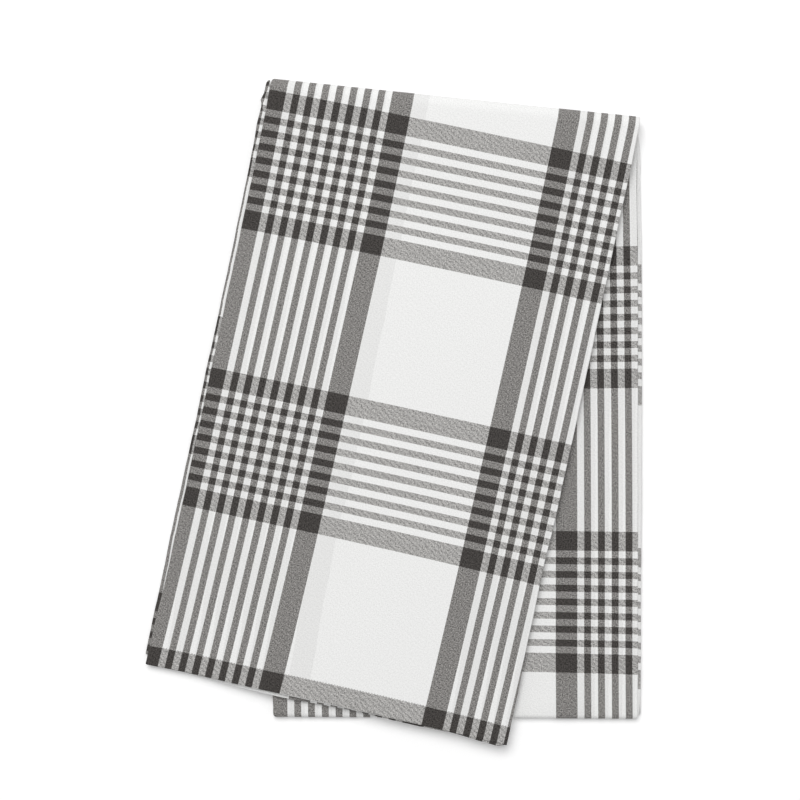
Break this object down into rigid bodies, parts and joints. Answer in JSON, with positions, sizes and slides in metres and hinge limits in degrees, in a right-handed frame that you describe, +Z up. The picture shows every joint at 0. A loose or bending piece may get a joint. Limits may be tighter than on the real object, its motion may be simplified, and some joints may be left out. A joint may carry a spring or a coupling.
{
  "type": "tablecloth",
  "caption": "Woven check tablecloth, folded into a long flat strip and folded over once on a skew, so that the front flap leans across the back panel.",
  "frame": {"origin": "middle of the folded cloth's footprint, on the surface it lies on", "axes": "+Z up out of the surface, +Y towards the skew fold at the top, +X to the right as the front flap is looked at"},
  "size_m": [0.4944, 0.6634, 0.0244],
  "materials": {
    "check_cotton": "matt woven cotton in charcoal and white, a large check of broad and narrow stripes"
  },
  "bodies": {
    "root": {"tablecloth": "check_cotton"}
  },
  "joints": []
}
